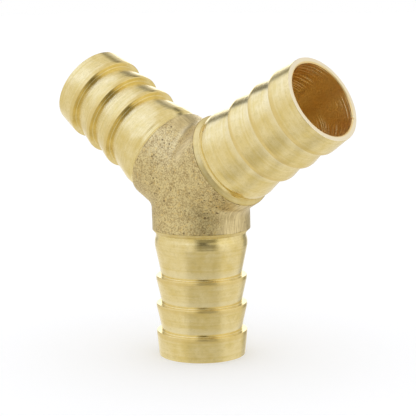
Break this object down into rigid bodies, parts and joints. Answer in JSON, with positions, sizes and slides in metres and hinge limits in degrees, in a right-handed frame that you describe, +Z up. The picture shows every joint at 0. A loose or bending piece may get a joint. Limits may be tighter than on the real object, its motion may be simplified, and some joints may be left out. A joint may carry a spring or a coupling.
{
  "type": "barbed wye connector",
  "caption": "Three-way barbed hose connector in brass: a forged hub with equal turned hose tails at 120 degrees and open bores that meet in the middle.",
  "frame": {"origin": "the point where the axes of the three tails meet, at the centre of the hub", "axes": "+Z up, with one tail pointing straight down; the three axes lie in the XZ plane, the right tail 30 degrees above +X and the left tail 30 degrees above -X; Y is square to that plane"},
  "size_m": [0.076, 0.0216, 0.0659],
  "materials": {
    "forged_brass": "as forged and shot blasted: matte, with fine dark pits, and ground smoother where the flash was trimmed",
    "turned_brass": "turned, satin, with fine tool marks round the axis and bright edges"
  },
  "bodies": {
    "root": {"wye_body": "forged_brass", "hose_tail_lower": "turned_brass", "hose_tail_right": "turned_brass", "hose_tail_left": "turned_brass"}
  },
  "joints": []
}
